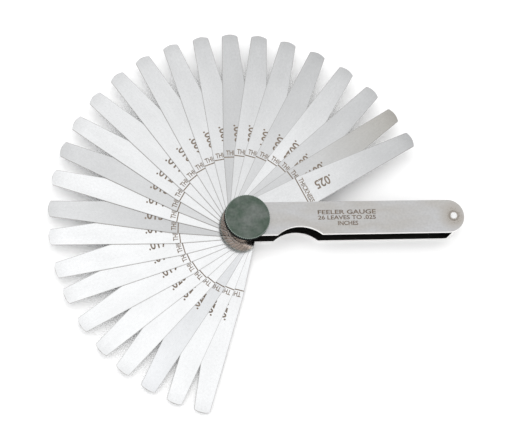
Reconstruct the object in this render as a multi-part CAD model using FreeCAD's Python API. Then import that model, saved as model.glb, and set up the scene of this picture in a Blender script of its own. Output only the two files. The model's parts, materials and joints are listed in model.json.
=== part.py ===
import FreeCAD, Part
import math
import os
from FreeCAD import Vector

# Feeler gauge: 26 steel thickness leaves that fan out of a flat, open-sided case.
# Millimetres. The origin is on the pivot axis, in the plane that the case rests on.
# +X runs from the pivot to the case's round end and +Z from the resting plane to the lock nut.

os.makedirs("parts", exist_ok=True)

# ---- Leaves ----
THOU = 0.0254                # one thousandth of an inch
LEAF_REACH = 77.0            # pivot to the tip, 3-1/32 in
LEAF_WIDTH = 12.7            # 1/2 in
LEAF_TIP_WIDTH = 6.35        # 1/4 in, across the tip before its corners are rounded
LEAF_TAPER_START = 28.0      # pivot to where the sides begin to close in
LEAF_TIP_BULGE = 0.8         # how far the tip's arc stands out past its corners
LEAF_TIP_ROUND = 0.7         # radius of the tip's corners
LEAF_GAP = 0.02              # oil film between neighbours in the stack

# Each leaf from the front plate down: its thickness in thousandths of an inch, and
# where it stands in the open fan, in degrees round from the case.
LEAVES = (
    (25, 25), (1.5, 34), (2, 43.5), (2.5, 53.5), (3, 63.5), (4, 73), (5, 82), (6, 91), (7, 100),
    (8, 109.5), (9, 119), (10, 128.5), (11, 138), (12, 147.5), (13, 156.5), (14, 165.5), (15, 175),
    (16, 183.5), (17, 193.5), (18, 201.5), (19, 211), (20, 220), (21, 228.5), (22, 237.5), (23, 246),
    (24, 254.5),
)

# ---- Case ----
PLATE_THICKNESS = 1.5
PLATE_WIDTH = 13.2
CASE_REACH = 88.2            # pivot to the far side of the round end
PLATE_EDGE_ROUND = 0.2       # on the outer edge of each plate
NOTCH_CENTRE = 21.3          # finger notch, along +X from the pivot
NOTCH_WIDTH = 18.0
NOTCH_DEPTH = 3.3

# ---- End spacer and rivet ----
RIVET_CENTRE = 83.8          # pivot to the rivet
RIVET_SHANK = 2.6            # diameter
RIVET_HEAD = 4.4             # diameter
RIVET_DOME = 0.45            # height of the head above the front plate
SPACER_INNER_FACE = 83.1     # pivot to the spacer's inner side
SPACER_BOSS = 6.6            # diameter of the spacer round the rivet

# ---- Pivot and lock nut ----
STUD_SHANK = 5.0             # diameter where the leaves turn
STUD_HEAD = 8.0              # diameter of the head sunk in the back plate
STUD_THREAD = 4.0            # diameter at the crests
NUT_DIAMETER = 18.0
NUT_THICKNESS = 3.0
NUT_CHAMFER = 0.35
KNURL_COUNT = 72
KNURL_DEPTH = 0.3
THREAD_DEPTH = 1.9           # blind thread in the nut
THREAD_RELIEF = 0.4          # left free past the stud's end
WASHER_DIAMETER = 13.0
WASHER_THICKNESS = 0.5
WASHER_RECESS = 0.3          # radial room round the washer in the nut

# ---- Fits ----
RUNNING_FIT = 0.05           # radial, for what turns
FIXED_FIT = 0.01             # radial, for what is riveted or pressed in
FACE_GAP = 0.02              # between faces that bear on each other
HEAD_RECESS = 0.05           # the sunk heads stay this far inside the back plate's face

CUT_PAST = 1.0               # how far a cut runs out beyond what it cuts
SAME_PLACE = 1e-6            # two heights or lengths closer than this are equal

HALF_PLATE = PLATE_WIDTH / 2
STACK = sum(thou for thou, angle in LEAVES) * THOU
INSIDE = STACK + (len(LEAVES) + 1) * LEAF_GAP
FRONT_PLATE_Z = PLATE_THICKNESS + INSIDE
CASE_TOP = FRONT_PLATE_Z + PLATE_THICKNESS
NUT_BASE = CASE_TOP + FACE_GAP


def at(x, y=0.0, z=0.0):
    return Vector(x, y, z)


def cylinder(diameter, base, top, x=0.0):
    return Part.makeCylinder(diameter / 2, top - base, at(x, 0, base))


def bore(diameter, base, top, x=0.0):
    """What a drill takes out between two heights, running out past both."""
    return cylinder(diameter, base - CUT_PAST, top + CUT_PAST, x)


def prism(edges, base, height):
    """Stands a closed outline, drawn at z = 0, on the plane z = base."""
    solid = Part.Face(Part.Wire(edges)).extrude(at(0, 0, height))
    return solid.translated(at(0, 0, base))


def save(name, solid):
    if not solid.isValid() or len(solid.Solids) != 1:
        raise ValueError(name + " is not one valid solid")
    solid.Solids[0].exportStep("parts/" + name + ".step")
    box = solid.BoundBox
    print(name, round(solid.Volume, 3), "mm3, z", round(box.ZMin, 3), "to", round(box.ZMax, 3))


# ---- Leaves ----

def leaf_outline():
    """A round tail about the pivot, parallel sides, a straight taper and a bowed tip."""
    side = LEAF_WIDTH / 2
    corner = LEAF_TIP_WIDTH / 2
    corner_x = LEAF_REACH - LEAF_TIP_BULGE
    tail = Part.Arc(at(0, side), at(-side), at(0, -side)).toShape()
    tip = Part.Arc(at(corner_x, -corner), at(LEAF_REACH), at(corner_x, corner)).toShape()
    right = Part.makePolygon([at(0, -side), at(LEAF_TAPER_START, -side), at(corner_x, -corner)])
    left = Part.makePolygon([at(corner_x, corner), at(LEAF_TAPER_START, side), at(0, side)])
    return [tail] + right.Edges + [tip] + left.Edges


def leaf(thickness, base, angle):
    blade = prism(leaf_outline(), base, thickness)
    upright = [e for e in blade.Edges if e.BoundBox.XLength < SAME_PLACE]
    tip_corners = [e for e in upright if e.BoundBox.XMin > LEAF_REACH / 2]
    blade = blade.makeFillet(LEAF_TIP_ROUND, tip_corners)
    blade = blade.cut(bore(STUD_SHANK + 2 * RUNNING_FIT, base, base + thickness))
    blade.rotate(at(0), at(0, 0, 1), angle)
    return blade


def make_leaves():
    top = FRONT_PLATE_Z
    for thou, angle in LEAVES:
        thickness = thou * THOU
        base = top - LEAF_GAP - thickness
        name = "leaf_" + str(thou).replace(".", "_") + "_thou"
        save(name, leaf(thickness, base, angle))
        top = base


# ---- Case ----

def case_outline():
    """Straight sides between two full round ends."""
    end_x = CASE_REACH - HALF_PLATE
    pivot_end = Part.Arc(at(0, HALF_PLATE), at(-HALF_PLATE), at(0, -HALF_PLATE)).toShape()
    far_end = Part.Arc(at(end_x, -HALF_PLATE), at(CASE_REACH), at(end_x, HALF_PLATE)).toShape()
    near_side = Part.makeLine(at(0, -HALF_PLATE), at(end_x, -HALF_PLATE))
    far_side = Part.makeLine(at(end_x, HALF_PLATE), at(0, HALF_PLATE))
    return [pivot_end, near_side, far_end, far_side]


def plate_blank(base):
    """A plate with the finger notch, a circular arc, cut into its -Y side."""
    blank = prism(case_outline(), base, PLATE_THICKNESS)
    radius = (NOTCH_WIDTH ** 2 / 4 + NOTCH_DEPTH ** 2) / (2 * NOTCH_DEPTH)
    centre_y = NOTCH_DEPTH - HALF_PLATE - radius
    height = PLATE_THICKNESS + 2 * CUT_PAST
    return blank.cut(Part.makeCylinder(radius, height, at(NOTCH_CENTRE, centre_y, base - CUT_PAST)))


def round_outer_edge(plate, z):
    """Rounds the edge that runs round the plate's outer face, which lies at height z."""
    level = [e for e in plate.Edges if e.BoundBox.ZLength < SAME_PLACE]
    outer = [e for e in level if abs(e.BoundBox.ZMin - z) < SAME_PLACE]
    return plate.makeFillet(PLATE_EDGE_ROUND, outer)


def front_plate():
    plate = round_outer_edge(plate_blank(FRONT_PLATE_Z), CASE_TOP)
    plate = plate.cut(bore(STUD_SHANK + 2 * RUNNING_FIT, FRONT_PLATE_Z, CASE_TOP))
    return plate.cut(bore(RIVET_SHANK + 2 * FIXED_FIT, FRONT_PLATE_Z, CASE_TOP, RIVET_CENTRE))


def sunk_head(diameter, shank, x, clearance=0.0):
    """A flat head sunk in the back plate: a cone that runs into its shank half way up."""
    depth = PLATE_THICKNESS / 2 - HEAD_RECESS
    wide = diameter / 2 + clearance
    narrow = shank / 2 + clearance
    return Part.makeCone(wide, narrow, depth, at(x, 0, HEAD_RECESS))


def back_plate():
    plate = round_outer_edge(plate_blank(0), 0)
    for head, shank, x in ((STUD_HEAD, STUD_SHANK, 0), (RIVET_HEAD, RIVET_SHANK, RIVET_CENTRE)):
        plate = plate.cut(sunk_head(head, shank, x, FIXED_FIT))
        plate = plate.cut(cylinder(head + 2 * FIXED_FIT, -CUT_PAST, HEAD_RECESS, x))
        plate = plate.cut(bore(shank + 2 * FIXED_FIT, 0, PLATE_THICKNESS, x))
    return plate


def end_spacer():
    """Fills the round end between the plates, with a boss round the rivet on its inner side."""
    base = PLATE_THICKNESS + FACE_GAP
    height = INSIDE - 2 * FACE_GAP
    end = prism(case_outline(), base, height)
    inner_part = Part.makeBox(
        SPACER_INNER_FACE + PLATE_WIDTH, PLATE_WIDTH, height, at(-PLATE_WIDTH, -HALF_PLATE, base)
    )
    boss = cylinder(SPACER_BOSS, base, base + height, RIVET_CENTRE)
    block = end.cut(inner_part).fuse(boss).removeSplitter()
    return block.cut(bore(RIVET_SHANK + 2 * FIXED_FIT, base, base + height, RIVET_CENTRE))


def end_rivet():
    """A shank with a sunk head below and a low domed head on the front plate."""
    head_radius = RIVET_HEAD / 2
    ball_radius = (head_radius ** 2 + RIVET_DOME ** 2) / (2 * RIVET_DOME)
    seat = CASE_TOP + FACE_GAP
    ball = Part.makeSphere(ball_radius, at(RIVET_CENTRE, 0, seat + RIVET_DOME - ball_radius))
    dome = ball.common(cylinder(RIVET_HEAD, seat, seat + 2 * RIVET_DOME, RIVET_CENTRE))
    shank = cylinder(RIVET_SHANK, HEAD_RECESS, seat, RIVET_CENTRE)
    return shank.fuse([dome, sunk_head(RIVET_HEAD, RIVET_SHANK, RIVET_CENTRE)]).removeSplitter()


# ---- Pivot and lock nut ----

def pivot_stud():
    """A sunk head, the shank that the leaves turn on, and a threaded end for the nut."""
    shoulder = CASE_TOP - FACE_GAP
    thread_end = NUT_BASE + WASHER_THICKNESS + THREAD_DEPTH - THREAD_RELIEF
    shank = cylinder(STUD_SHANK, HEAD_RECESS, shoulder)
    thread = cylinder(STUD_THREAD, shoulder, thread_end)
    return sunk_head(STUD_HEAD, STUD_SHANK, 0).fuse([shank, thread]).removeSplitter()


def knurled_blank():
    """A disc with straight V grooves all round its rim."""
    outer = NUT_DIAMETER / 2
    points = []
    for k in range(2 * KNURL_COUNT + 1):
        radius = outer - KNURL_DEPTH * (k % 2)
        angle = math.pi * k / KNURL_COUNT
        points.append(at(radius * math.cos(angle), radius * math.sin(angle)))
    disc = prism(Part.makePolygon(points).Edges, NUT_BASE, NUT_THICKNESS)
    # Two cones, base to base, trim the knurl's crests at both faces of the nut.
    half = NUT_THICKNESS / 2
    middle = NUT_BASE + half
    narrow = outer - NUT_CHAMFER
    upper = Part.makeCone(narrow + half, narrow, half, at(0, 0, middle))
    lower = upper.mirror(at(0, 0, middle), at(0, 0, 1))
    return disc.common(upper.fuse(lower))


def friction_washer():
    washer = cylinder(WASHER_DIAMETER, NUT_BASE, NUT_BASE + WASHER_THICKNESS)
    return washer.cut(bore(STUD_THREAD + 2 * RUNNING_FIT, NUT_BASE, NUT_BASE + WASHER_THICKNESS))


def lock_nut():
    """A knurled nut with a blind thread, and a recess below that hides the washer."""
    seat = NUT_BASE + WASHER_THICKNESS + FACE_GAP
    recess = cylinder(WASHER_DIAMETER + 2 * WASHER_RECESS, NUT_BASE - CUT_PAST, seat)
    thread = cylinder(STUD_THREAD + 2 * RUNNING_FIT, NUT_BASE - CUT_PAST, seat + THREAD_DEPTH)
    return knurled_blank().cut(recess.fuse(thread))


make_leaves()
save("front_case_plate", front_plate())
save("back_case_plate", back_plate())
save("end_spacer", end_spacer())
save("end_rivet", end_rivet())
save("pivot_stud", pivot_stud())
save("friction_washer", friction_washer())
save("knurled_lock_nut", lock_nut())
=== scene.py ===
import json
import math

import bmesh
import bpy
from mathutils import Euler, Matrix, Vector


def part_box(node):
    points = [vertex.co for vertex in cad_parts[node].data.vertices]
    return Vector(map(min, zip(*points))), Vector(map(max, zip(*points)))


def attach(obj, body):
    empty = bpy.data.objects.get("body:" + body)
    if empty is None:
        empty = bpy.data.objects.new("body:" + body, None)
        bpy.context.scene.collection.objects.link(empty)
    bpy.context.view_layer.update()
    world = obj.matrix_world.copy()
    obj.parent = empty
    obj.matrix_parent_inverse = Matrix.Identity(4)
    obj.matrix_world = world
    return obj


# Feeler gauge: steel thickness leaves fanned out of an open-sided case, on a white table.
# Metres. The origin is on the pivot axis, in the plane that the case rests on, with +X along the case.

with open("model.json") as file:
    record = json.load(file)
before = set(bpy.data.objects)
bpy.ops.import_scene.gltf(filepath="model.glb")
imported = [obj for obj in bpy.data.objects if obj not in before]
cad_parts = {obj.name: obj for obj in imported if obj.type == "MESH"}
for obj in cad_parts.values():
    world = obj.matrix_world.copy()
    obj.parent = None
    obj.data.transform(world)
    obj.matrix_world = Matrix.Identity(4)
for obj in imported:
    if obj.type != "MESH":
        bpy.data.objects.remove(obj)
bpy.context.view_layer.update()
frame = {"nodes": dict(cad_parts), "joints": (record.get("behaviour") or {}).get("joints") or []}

MM = 0.001

# ---- A leaf's outline before its corners are rounded, from the pivot out ----
LEAF_REACH = 77.0 * MM
LEAF_HALF_WIDTH = 6.35 * MM
TIP_HALF_WIDTH = 3.175 * MM
TAPER_START = 28.0 * MM
TAPER_END = 76.2 * MM
TIP_SHADE_FROM = 71.5 * MM    # painted shade darkens the leaves a little from here out
RUBBED = (12 * MM, 20 * MM)  # polished nearer the pivot than the first, and not past the second

# ---- The case, the rivet and the nut ----
FRONT_PLATE_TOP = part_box("front_case_plate")[1].z
FRONT_PLATE_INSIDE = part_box("front_case_plate")[0].z
BACK_PLATE_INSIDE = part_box("back_case_plate")[1].z
NUT_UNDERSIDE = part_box("knurled_lock_nut")[0].z
RIVET_CENTRE = 83.8 * MM
SPACER_INSIDE = 83.1 * MM
SPACER_BOSS = 3.3 * MM       # radius of the spacer's round wall, about the rivet
SKIN = 0.006 * MM            # how far past a face its own finish reaches

# ---- Marks etched on the leaves and the case ----
TOP_LEAF = "leaf_25_thou"
BAND_LINE_AT = 26.0 * MM     # from the pivot
BAND_LINE_WIDTH = 0.45 * MM
BAND_LINE_END = 0.1 * MM     # left clear at each end of the line
BAND_WORD = "THICKNESS"
BAND_WORD_AT = 27.75 * MM
BAND_WORD_SIZE = (10.6 * MM, 2.1 * MM)
NUMBER_FOOT = 32.0 * MM      # from the pivot to the last digit
NUMBER_HEIGHT = 3.7 * MM
DIGIT_PITCH = 2.15 * MM
POINT_LENGTH = 0.85 * MM
FEWEST_DECIMALS = 3
NUMBER_ASIDE = 0.3 * MM      # off the leaf's middle line, except on the top leaf
NEARER_BY = {                # a few numbers stand nearer the pivot
    "leaf_1_5_thou": 1.5 * MM,
    "leaf_2_thou": 1.5 * MM,
    "leaf_2_5_thou": 1.9 * MM,
    "leaf_3_thou": 0.7 * MM,
    "leaf_4_thou": 0.6 * MM,
}
CASE_WORDS = (               # the words, the x and y of their middle, their length and their height
    ("FEELER GAUGE", 40.4 * MM, 2.2 * MM, 23.5 * MM, 1.8 * MM),
    ("26 LEAVES TO .025", 40.3 * MM, 0.0, 23.4 * MM, 1.72 * MM),
    ("INCHES", 40.6 * MM, -2.35 * MM, 8.2 * MM, 1.8 * MM),
)
LETTER_SWELL = 0.024         # makes the strokes bolder, as a share of the letters' size
MARK_SUNK = 0.002 * MM
MARK_PROUD = 0.006 * MM
MARK_THICKNESS = MARK_PROUD + MARK_SUNK
MARK_LEVEL = (MARK_PROUD - MARK_SUNK) / 2    # the marks' mid-height over the face they are on
WELD = 0.0005 * MM           # points of a mark closer than this are one

# ---- How bright the leaves are: the steel's tone, with painted light that rises round the fan ----
NEAR_TONE_AND_PAINTED_LIGHT = (0.77, 0.95)     # the tone near the pivot, at the fan's start and far round, with painted light
NEAR_PAINTED_LIGHT_RISES = (85, 190)  # the painted light rises from the first to the second between these angles, in degrees
TIP_TONE_AND_PAINTED_LIGHT = (0.60, 0.99)      # and the same at the tip
TIP_PAINTED_LIGHT_RISES = (85, 175)
ODD_LEAVES = {               # some are duller or brighter, near the pivot and at the tip
    "leaf_25_thou": (1.05, 0.90),
    "leaf_1_5_thou": (0.85, 0.75),
    "leaf_2_thou": (0.90, 1.0),
    "leaf_2_5_thou": (1.10, 1.05),
    "leaf_3_thou": (0.90, 0.95),
    "leaf_6_thou": (0.80, 1.0),
    "leaf_13_thou": (0.80, 0.80),
    "leaf_15_thou": (0.70, 0.80),
    "leaf_22_thou": (0.85, 0.95),
}
PLAIN = (0.99, 1.0, 1.01)
BLUISH = (0.985, 1.0, 1.02)
STRAW = (1.04, 1.01, 0.94)
TINTS = {"leaf_1_5_thou": (PLAIN, STRAW), "leaf_22_thou": (BLUISH, BLUISH)}
SEED_STEP = 1.37             # from leaf to leaf, so that no two have the same grain

# ---- Colours of the steel ----
# painted shade on the leaves' upright cut walls
CUT_WALL_PAINTED_SHADE = (0.28, 0.25, 0.225)
# painted shade in a thin band along the leaves' edges
EDGE_PAINTED_SHADE = (0.33, 0.32, 0.31)
PLATING = ((0.535, 0.52, 0.50), (0.59, 0.592, 0.60))
PLATING_ON_SPACER = (0.88, 0.87, 0.86)
# the plates' walls: bare polished steel, made lighter still by a painted highlight
BARE_WALLS_WITH_PAINTED_HIGHLIGHT = (0.97, 0.96, 0.95)
# black on the faces inside the case
BLACK_INSIDE = (0.033, 0.032, 0.030)
STAIN = (0.42, 0.37, 0.31)
PITS = (0.16, 0.13, 0.10)
RIVET_DOME = (0.93, 0.93, 0.93)
RIVET_RING = (0.37, 0.33, 0.285)
RIVET_PITS = (0.10, 0.08, 0.06)
STUD_TONE = (0.60, 0.60, 0.59)
WASHER_TONE = (0.55, 0.55, 0.54)
BLUED = ((0.088, 0.118, 0.095), (0.170, 0.188, 0.174))
# painted shade on the nut's knurled wall
KNURL_WALL_PAINTED_SHADE = (0.012, 0.018, 0.015)
BLUED_GLINT = (0.15, 0.20, 0.17, 1)
# painted highlight on the nut's rim
RIM_PAINTED_HIGHLIGHT = (0.42, 0.50, 0.45)
BARE_BROWN = (0.92, 0.76, 0.66)
LEAF_ETCHED = ((0.115, 0.090, 0.070), (0.28, 0.23, 0.185))    # where it is deep, and where it is worn
CASE_ETCHED = ((0.075, 0.055, 0.042), (0.22, 0.175, 0.135))

# ---- Table, light and camera ----
TABLE_WHITE = (0.93, 0.93, 0.93)
TABLE_HALF_SIZE = 3.0
TABLE_DROP = 0.02 * MM       # the table is just under the case
ROOM_BRIGHTNESS = 1.0
LIGHT_PLACE = (-0.20, 0.14, 0.86)
LIGHT_SIZE = 0.82
LIGHT_POWER = 3.7
CAMERA_TURN = (15.42, -10.65, -3.82)                    # degrees, from looking straight down
CAMERA_FROM_AIM = (5.66 * MM, 0.84 * MM, 925.9 * MM)    # to the right, up and back from the aim
CAMERA_AIM_HEIGHT = 1.5 * MM                            # the aim is on the pivot axis
CAMERA_LENS = 165.2                                     # millimetres, as the sensor's width is
CAMERA_SENSOR = 36.0


class Finish:
    """A material and the nodes that give its surface."""

    def __init__(self, name):
        self.material = bpy.data.materials.new(name)
        self.material.use_nodes = True
        self.tree = self.material.node_tree
        self.shader = self.tree.nodes["Principled BSDF"]
        self.place = self.node("TexCoord").outputs["Object"]

    def node(self, kind, feeds=None, **settings):
        made = self.tree.nodes.new("ShaderNode" + kind)
        for key, value in settings.items():
            setattr(made, key, value)
        for socket, value in (feeds or {}).items():
            self.feed(made.inputs[socket], value)
        return made

    def feed(self, socket, value):
        if isinstance(value, bpy.types.NodeSocket):
            self.tree.links.new(value, socket)
        else:
            socket.default_value = value

    def set(self, socket, value):
        self.feed(self.shader.inputs[socket], value)

    def turned(self, angle):
        """Coordinates along and across a piece that lies at an angle about the pivot."""
        feeds = {"Vector": self.place, "Rotation": (0, 0, angle)}
        return self.node("Mapping", feeds, vector_type="TEXTURE").outputs[0]

    def parts(self, place):
        """The x, y and z of a place."""
        return self.node("SeparateXYZ", {0: place}).outputs[:3]

    def distance_from(self, x, y=0.0):
        """How far a point of the surface is from the upright line through x, y."""
        flat = self.node("VectorMath", {0: self.place, 1: (1, 1, 0)}, operation="MULTIPLY").outputs[0]
        return self.node("VectorMath", {0: flat, 1: (x, y, 0)}, operation="DISTANCE").outputs["Value"]

    def noise(self, place, size, detail=3.0, seed=0.0):
        """Cloudy noise, 0 to 1, whose spots have the size given along x, y and z."""
        feeds = {"Vector": place, "Location": (seed, seed * 0.7, 0), "Scale": [1 / s for s in size]}
        spread = self.node("Mapping", feeds).outputs[0]
        return self.node("TexNoise", {"Vector": spread, "Scale": 1.0, "Detail": detail}).outputs[0]

    def ramp(self, value, low, high, to_low=0.0, to_high=1.0):
        """Goes evenly from one output to the other while the value goes from low to high."""
        feeds = {"Value": value, "From Min": low, "From Max": high, "To Min": to_low, "To Max": to_high}
        return self.node("MapRange", feeds).outputs[0]

    def facing_up(self, low, high):
        """0 on upright walls, rising to 1 on faces that lie flat."""
        tilt = self.parts(self.node("NewGeometry").outputs["Normal"])[2]
        return self.ramp(self.calc("ABSOLUTE", tilt), low, high)

    def calc(self, kind, a, b=0.0):
        return self.node("Math", {0: a, 1: b}, operation=kind).outputs[0]

    def mix(self, share, a, b, blend="MIX"):
        made = self.node("Mix", {0: share}, data_type="RGBA", blend_type=blend)
        for socket, colour in ((6, a), (7, b)):
            plain = not isinstance(colour, bpy.types.NodeSocket)
            self.feed(made.inputs[socket], (*colour, 1) if plain else colour)
        return made.outputs[2]

    def shade(self, colour, amount):
        """The colour times a value near 1."""
        grey = self.node("CombineColor", {0: amount, 1: amount, 2: amount}).outputs[0]
        return self.mix(1.0, colour, grey, "MULTIPLY")

    def bump(self, height, depth, strength):
        feeds = {"Height": height, "Distance": depth, "Strength": strength}
        self.set("Normal", self.node("Bump", feeds).outputs[0])


# ---- Finishes ----

def leaf_steel(name, angle, tone, tip_tone_and_painted_light, seed):
    """Ground spring steel: a lengthwise grain and soft mottling, painted light going from the tone near
    the pivot to the tip's, painted shade at the tip, along the edges and on the cut walls, and rubbed
    smooth near the pivot."""
    steel = Finish(name)
    place = steel.turned(angle)
    along, across = steel.parts(place)[:2]
    grain = steel.noise(place, (9 * MM, 0.10 * MM, 1 * MM), 2.0, seed)
    mottle = steel.noise(place, (0.9 * MM, 0.8 * MM, 1 * MM), 4.0, seed + 3)
    cloud = steel.noise(place, (16 * MM, 7 * MM, 5 * MM), 2.0, seed + 7)
    # painted light: the leaf's tone goes from the pivot's to the tip's, and both rise round the fan
    colour = steel.mix(steel.ramp(along, 0.4 * LEAF_REACH, LEAF_REACH), tone, tip_tone_and_painted_light)
    colour = steel.shade(colour, steel.ramp(mottle, 0.25, 0.75, 0.955, 1.03))
    colour = steel.shade(colour, steel.ramp(cloud, 0.3, 0.7, 0.97, 1.03))
    # painted shade over the last few millimetres to the tip
    colour = steel.shade(colour, steel.ramp(along, TIP_SHADE_FROM, LEAF_REACH, 1.0, 0.90))
    colour = steel.shade(colour, steel.ramp(grain, 0.25, 0.75, 0.975, 1.02))
    half_width = steel.ramp(along, TAPER_START, TAPER_END, LEAF_HALF_WIDTH, TIP_HALF_WIDTH)
    from_side = steel.calc("SUBTRACT", half_width, steel.calc("ABSOLUTE", across))
    from_tip = steel.calc("SUBTRACT", LEAF_REACH, along)
    from_edge = steel.calc("MINIMUM", from_side, from_tip)
    # painted shade in a thin band along the edges and the tip
    colour = steel.mix(steel.ramp(from_edge, 0.05 * MM, 0.30 * MM, 0.55, 0.0), colour, EDGE_PAINTED_SHADE)
    # painted shade on the upright cut walls
    colour = steel.mix(steel.facing_up(0.3, 0.7), CUT_WALL_PAINTED_SHADE, colour)
    steel.set("Base Color", colour)
    steel.set("Metallic", 1.0)
    from_pivot = steel.node("VectorMath", {0: place}, operation="LENGTH").outputs["Value"]
    rough = steel.ramp(mottle, 0.2, 0.8, 0.17, 0.25)
    steel.set("Roughness", steel.ramp(steel.ramp(from_pivot, *RUBBED), 0.0, 1.0, 0.13, rough))
    steel.bump(grain, 0.002 * MM, 0.3)
    return steel.material


def case_steel(name, inside_is_above, inside_height):
    """Satin plated steel: soft mottling, a brown stain and pits round the rivet, lighter walls of bare
    steel with a painted highlight, and a black inner face."""
    steel = Finish(name)
    grain = steel.noise(steel.place, (5 * MM, 0.12 * MM, 1 * MM), 2.0, 1.0)
    mottle = steel.noise(steel.place, (0.9 * MM, 0.8 * MM, 1 * MM), 5.0, 2.0)
    cloud = steel.noise(steel.place, (14 * MM, 5 * MM, 5 * MM), 2.0, 5.0)
    specks = steel.noise(steel.place, (0.35 * MM, 0.35 * MM, 1 * MM), 2.0, 9.0)
    colour = steel.mix(steel.ramp(cloud, 0.3, 0.7), *PLATING)
    colour = steel.shade(colour, steel.ramp(mottle, 0.25, 0.75, 0.90, 1.06))
    colour = steel.shade(colour, steel.ramp(grain, 0.25, 0.75, 0.97, 1.02))
    from_rivet = steel.distance_from(RIVET_CENTRE)
    colour = steel.mix(steel.ramp(from_rivet, 2.2 * MM, 7 * MM, 0.55, 0.0), colour, STAIN)
    pits_here = steel.ramp(from_rivet, 2.6 * MM, 4.0 * MM, 0.7, 0.0)
    pits = steel.calc("MULTIPLY", steel.ramp(specks, 0.56, 0.62, 0.0, 0.85), pits_here)
    colour = steel.mix(pits, colour, PITS)
    # the walls lighter: bare steel, with a painted highlight
    colour = steel.mix(steel.facing_up(0.3, 0.8), BARE_WALLS_WITH_PAINTED_HIGHLIGHT, colour)
    height = steel.parts(steel.place)[2]
    if inside_is_above:
        inner = steel.calc("GREATER_THAN", height, inside_height - SKIN)
    else:
        inner = steel.calc("LESS_THAN", height, inside_height + SKIN)
    steel.set("Base Color", steel.mix(inner, colour, BLACK_INSIDE))
    steel.set("Metallic", 1.0)
    steel.set("Roughness", steel.ramp(mottle, 0.2, 0.8, 0.34, 0.48))
    steel.bump(mottle, 0.006 * MM, 0.5)
    return steel.material


def spacer_steel():
    """Plated outside, and black where it faces the leaves."""
    steel = Finish("spacer_steel")
    mottle = steel.noise(steel.place, (0.9 * MM, 0.8 * MM, 0.8 * MM), 5.0, 4.0)
    colour = steel.shade(PLATING_ON_SPACER, steel.ramp(mottle, 0.25, 0.75, 0.90, 1.06))
    inner = steel.calc("LESS_THAN", steel.parts(steel.place)[0], SPACER_INSIDE + 3 * SKIN)
    boss = steel.calc("LESS_THAN", steel.distance_from(RIVET_CENTRE), SPACER_BOSS + 3 * SKIN)
    steel.set("Base Color", steel.mix(steel.calc("MAXIMUM", inner, boss), colour, BLACK_INSIDE))
    steel.set("Metallic", 1.0)
    steel.set("Roughness", steel.ramp(mottle, 0.2, 0.8, 0.32, 0.46))
    steel.bump(mottle, 0.006 * MM, 0.5)
    return steel.material


def rivet_steel():
    """A polished dome with tiny dark pits and a rough brown ring where it meets the plate."""
    steel = Finish("rivet_steel")
    specks = steel.noise(steel.place, (0.28 * MM, 0.28 * MM, 0.28 * MM), 2.0, 6.0)
    ring = steel.ramp(steel.distance_from(RIVET_CENTRE), 1.1 * MM, 1.5 * MM, 0.0, 0.8)
    colour = steel.mix(ring, RIVET_DOME, RIVET_RING)
    steel.set("Base Color", steel.mix(steel.ramp(specks, 0.62, 0.67, 0.0, 0.8), colour, RIVET_PITS))
    steel.set("Metallic", 1.0)
    steel.set("Roughness", steel.calc("MAXIMUM", steel.ramp(specks, 0.3, 0.7, 0.14, 0.30), ring))
    steel.bump(specks, 0.01 * MM, 0.4)
    return steel.material


def turned_steel(name, tone):
    """Plain steel from the lathe, with fine rings round its axis."""
    steel = Finish(name)
    ring_width = 0.22 * MM
    rings = steel.calc("PINGPONG", steel.distance_from(0.0), ring_width)
    mottle = steel.noise(steel.place, (0.8 * MM, 0.8 * MM, 0.8 * MM), 4.0, 8.0)
    colour = steel.shade(tone, steel.ramp(mottle, 0.25, 0.75, 0.85, 1.08))
    steel.set("Base Color", steel.shade(colour, steel.ramp(rings, 0.0, ring_width, 0.95, 1.04)))
    steel.set("Metallic", 1.0)
    steel.set("Roughness", steel.ramp(mottle, 0.2, 0.8, 0.30, 0.45))
    steel.bump(rings, 0.01 * MM, 0.3)
    return steel.material


def nut_blued():
    """Blued steel: a cloudy dark grey-green top that is lighter in the middle, a painted highlight on the
    rim, painted shade on the knurled wall and a bare brown underside."""
    steel = Finish("nut_blued")
    mottle = steel.noise(steel.place, (1.0 * MM, 1.0 * MM, 1.0 * MM), 5.0, 11.0)
    cloud = steel.noise(steel.place, (5 * MM, 4 * MM, 4 * MM), 3.0, 12.0)
    middle = steel.ramp(steel.distance_from(0.0), 1 * MM, 8.5 * MM, 0.11, -0.10)
    colour = steel.mix(steel.ramp(steel.calc("ADD", cloud, middle), 0.32, 0.68), *BLUED)
    colour = steel.shade(colour, steel.ramp(mottle, 0.25, 0.75, 0.80, 1.20))
    flat = steel.facing_up(0.55, 0.95)
    # painted shade on the knurled wall
    colour = steel.mix(flat, KNURL_WALL_PAINTED_SHADE, colour)
    # painted highlight on the rim
    rim = steel.calc("MULTIPLY", steel.facing_up(0.5, 0.6), steel.calc("SUBTRACT", 1.0, flat))
    colour = steel.mix(rim, colour, RIM_PAINTED_HIGHLIGHT)
    below = steel.calc("LESS_THAN", steel.parts(steel.place)[2], NUT_UNDERSIDE + SKIN)
    steel.set("Base Color", steel.mix(below, colour, BARE_BROWN))
    steel.set("Metallic", 0.85)
    steel.set("Specular Tint", BLUED_GLINT)
    steel.set("Roughness", steel.ramp(mottle, 0.2, 0.8, 0.30, 0.48))
    steel.bump(mottle, 0.012 * MM, 0.5)
    return steel.material


def etched_mark(name, deep, worn):
    """Acid-etched brown lines, worn lighter in places."""
    mark = Finish(name)
    wear = mark.noise(mark.place, (0.5 * MM, 0.5 * MM, 0.5 * MM), 3.0, 13.0)
    mark.set("Base Color", mark.mix(mark.ramp(wear, 0.35, 0.75), deep, worn))
    mark.set("Metallic", 0.0)
    mark.set("Roughness", mark.ramp(wear, 0.2, 0.8, 0.55, 0.8))
    return mark.material


def give(obj, material):
    obj.data.materials.clear()
    obj.data.materials.append(material)


# ---- Marks ----

def add_box(sheet, middle, size):
    """Adds a closed flat bar."""
    place = Matrix.Translation(middle) @ Matrix.Diagonal((*size, 1))
    bmesh.ops.create_cube(sheet, size=1.0, matrix=place)


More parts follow.
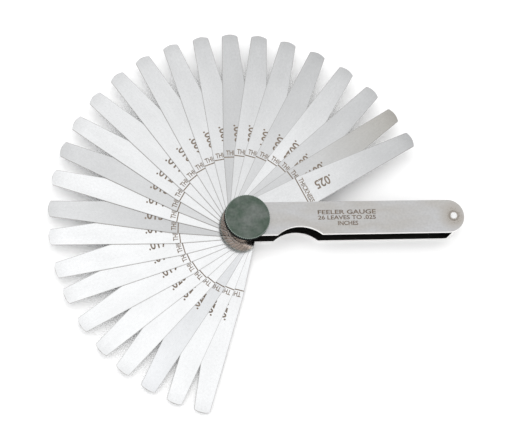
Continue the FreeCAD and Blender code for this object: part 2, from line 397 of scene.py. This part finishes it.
def add_words(sheet, words, middle, size, turn=0.0):
    """Adds closed flat letters: their middle, their length and height, and how far they are turned."""
    curve = bpy.data.curves.new(words, "FONT")
    curve.body = words
    curve.resolution_u = 3
    curve.extrude = 0.5
    curve.offset = LETTER_SWELL
    writer = bpy.data.objects.new(words, curve)
    bpy.context.scene.collection.objects.link(writer)
    bpy.context.view_layer.update()
    letters = bpy.data.meshes.new_from_object(writer)
    bpy.data.objects.remove(writer)
    bpy.data.curves.remove(curve)
    xs = [v.co.x for v in letters.vertices]
    ys = [v.co.y for v in letters.vertices]
    centre = Vector(((min(xs) + max(xs)) / 2, (min(ys) + max(ys)) / 2, 0))
    scale = (size[0] / (max(xs) - min(xs)), size[1] / (max(ys) - min(ys)), MARK_THICKNESS)
    letters.transform(Matrix.Diagonal((*scale, 1)) @ Matrix.Translation(-centre))
    letters.transform(Matrix.Translation(middle) @ Matrix.Rotation(turn, 4, "Z"))
    sheet.from_mesh(letters)
    bpy.data.meshes.remove(letters)


def finish_sheet(sheet, name, place, body, material):
    """Joins the letters' seams, puts the marks in place and makes them ride on their body."""
    bmesh.ops.remove_doubles(sheet, verts=sheet.verts, dist=WELD)
    bmesh.ops.recalc_face_normals(sheet, faces=sheet.faces)
    bmesh.ops.transform(sheet, matrix=place, verts=sheet.verts)
    mesh = bpy.data.meshes.new(name)
    sheet.to_mesh(mesh)
    sheet.free()
    piece = bpy.data.objects.new(name, mesh)
    bpy.context.scene.collection.objects.link(piece)
    give(piece, material)
    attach(piece, body)


def thickness_number(leaf):
    """The leaf's thickness in inches, as it is printed: leaf_2_5_thou gives .0025."""
    thou = float(leaf[len("leaf_"):-len("_thou")].replace("_", "."))
    decimals = f"{thou / 1000:.4f}"[len("0."):].rstrip("0")
    return "." + decimals.ljust(FEWEST_DECIMALS, "0")


def leaf_marks(leaf, angle, material):
    """A line and a small word across the leaf near the pivot, then its thickness in inches."""
    sheet = bmesh.new()
    line_length = 2 * (LEAF_HALF_WIDTH - BAND_LINE_END)
    add_box(sheet, Vector((BAND_LINE_AT, 0, MARK_LEVEL)), (BAND_LINE_WIDTH, line_length, MARK_THICKNESS))
    add_words(sheet, BAND_WORD, Vector((BAND_WORD_AT, 0, MARK_LEVEL)), BAND_WORD_SIZE, -math.pi / 2)
    number = thickness_number(leaf)
    length = POINT_LENGTH + DIGIT_PITCH * (len(number) - 1)
    along = NUMBER_FOOT - NEARER_BY.get(leaf, 0.0) + length / 2
    aside = 0.0 if leaf == TOP_LEAF else -NUMBER_ASIDE
    add_words(sheet, number, Vector((along, aside, MARK_LEVEL)), (length, NUMBER_HEIGHT), math.pi)
    place = Matrix.Translation((0, 0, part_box(leaf)[1].z)) @ Matrix.Rotation(angle, 4, "Z")
    finish_sheet(sheet, leaf + "_marks", place, leaf, material)


def case_lettering(material):
    sheet = bmesh.new()
    for words, x, y, length, height in CASE_WORDS:
        add_words(sheet, words, Vector((x, y, MARK_LEVEL)), (length, height))
    place = Matrix.Translation((0, 0, FRONT_PLATE_TOP))
    finish_sheet(sheet, "case_lettering", place, "case", material)


# ---- The gauge ----

def rising(value, start_end, low_high):
    """Rises evenly from the low to the high value between the start and the end."""
    share = (value - start_end[0]) / (start_end[1] - start_end[0])
    share = min(max(share, 0.0), 1.0)
    return low_high[0] + share * (low_high[1] - low_high[0])


def leaf_tones_and_painted_light(leaf, degrees):
    """A leaf's colour near the pivot and at its tip, with painted light: they rise round the fan, but for
    a few odd leaves.
    """
    near_share, tip_share = ODD_LEAVES.get(leaf, (1.0, 1.0))
    near_tint, tip_tint = TINTS.get(leaf, (PLAIN, PLAIN))
    near = near_share * rising(degrees, NEAR_PAINTED_LIGHT_RISES, NEAR_TONE_AND_PAINTED_LIGHT)
    tip = tip_share * rising(degrees, TIP_PAINTED_LIGHT_RISES, TIP_TONE_AND_PAINTED_LIGHT)
    return [near * part for part in near_tint], [tip * part for part in tip_tint]


def dress_leaves():
    """Gives each leaf its own steel and its marks, round the fan from the case."""
    etching = etched_mark("leaf_etching", *LEAF_ETCHED)
    joints = [joint for joint in frame["joints"] if joint["child"].startswith("leaf_")]
    joints.sort(key=lambda joint: -joint["range_deg"][0])
    for count, joint in enumerate(joints):
        leaf = joint["child"]
        degrees = -joint["range_deg"][0]    # the joint's low limit folds the leaf into the case
        angle = math.radians(degrees)
        # each leaf's tone with its painted light
        tone, tip_tone_and_painted_light = leaf_tones_and_painted_light(leaf, degrees)
        give(frame["nodes"][leaf], leaf_steel(leaf + "_steel", angle, tone, tip_tone_and_painted_light, SEED_STEP * count))
        leaf_marks(leaf, angle, etching)


dress_leaves()
give(frame["nodes"]["front_case_plate"], case_steel("front_plate_steel", False, FRONT_PLATE_INSIDE))
give(frame["nodes"]["back_case_plate"], case_steel("back_plate_steel", True, BACK_PLATE_INSIDE))
give(frame["nodes"]["end_spacer"], spacer_steel())
give(frame["nodes"]["end_rivet"], rivet_steel())
give(frame["nodes"]["pivot_stud"], turned_steel("stud_steel", STUD_TONE))
give(frame["nodes"]["friction_washer"], turned_steel("washer_steel", WASHER_TONE))
give(frame["nodes"]["knurled_lock_nut"], nut_blued())
case_lettering(etched_mark("case_etching", *CASE_ETCHED))


# ---- Table, light and camera ----

def white_table():
    sheet = bmesh.new()
    bmesh.ops.create_grid(sheet, x_segments=1, y_segments=1, size=TABLE_HALF_SIZE)
    bmesh.ops.translate(sheet, verts=sheet.verts, vec=(0, 0, -TABLE_DROP))
    mesh = bpy.data.meshes.new("white_table")
    sheet.to_mesh(mesh)
    sheet.free()
    table = bpy.data.objects.new("white_table", mesh)
    bpy.context.scene.collection.objects.link(table)
    paint = Finish("table_white")
    cloud = paint.noise(paint.place, (0.3, 0.3, 0.3), 2.0)
    paint.set("Base Color", paint.shade(TABLE_WHITE, paint.ramp(cloud, 0.3, 0.7, 0.99, 1.0)))
    paint.set("Roughness", 0.9)
    give(table, paint.material)


def white_room():
    world = bpy.data.worlds.new("white_room")
    world.use_nodes = True
    backdrop = world.node_tree.nodes["Background"]
    backdrop.inputs["Color"].default_value = (1, 1, 1, 1)
    backdrop.inputs["Strength"].default_value = ROOM_BRIGHTNESS
    bpy.context.scene.world = world


def ceiling_light():
    """A soft round light that aims at the pivot and isn't mirrored in the steel."""
    lamp = bpy.data.lights.new("ceiling_light", "AREA")
    lamp.shape = "DISK"
    lamp.size = LIGHT_SIZE
    lamp.energy = LIGHT_POWER
    holder = bpy.data.objects.new("ceiling_light", lamp)
    holder.location = LIGHT_PLACE
    holder.rotation_euler = (-Vector(LIGHT_PLACE)).to_track_quat("-Z", "Y").to_euler()
    holder.visible_glossy = False
    bpy.context.scene.collection.objects.link(holder)


def camera():
    turn = Euler([math.radians(angle) for angle in CAMERA_TURN]).to_matrix()
    lens = bpy.data.cameras.new("bench_camera")
    lens.lens = CAMERA_LENS
    lens.sensor_width = CAMERA_SENSOR
    lens.clip_start = 0.01
    lens.clip_end = 20.0
    holder = bpy.data.objects.new("bench_camera", lens)
    place = turn @ Vector(CAMERA_FROM_AIM) + Vector((0, 0, CAMERA_AIM_HEIGHT))
    holder.matrix_world = Matrix.Translation(place) @ turn.to_4x4()
    bpy.context.scene.collection.objects.link(holder)
    bpy.context.scene.camera = holder


white_table()
white_room()
ceiling_light()
camera()
bpy.context.scene.view_settings.view_transform = "Standard"
bpy.context.scene.view_settings.look = "None"

bpy.context.view_layer.update()
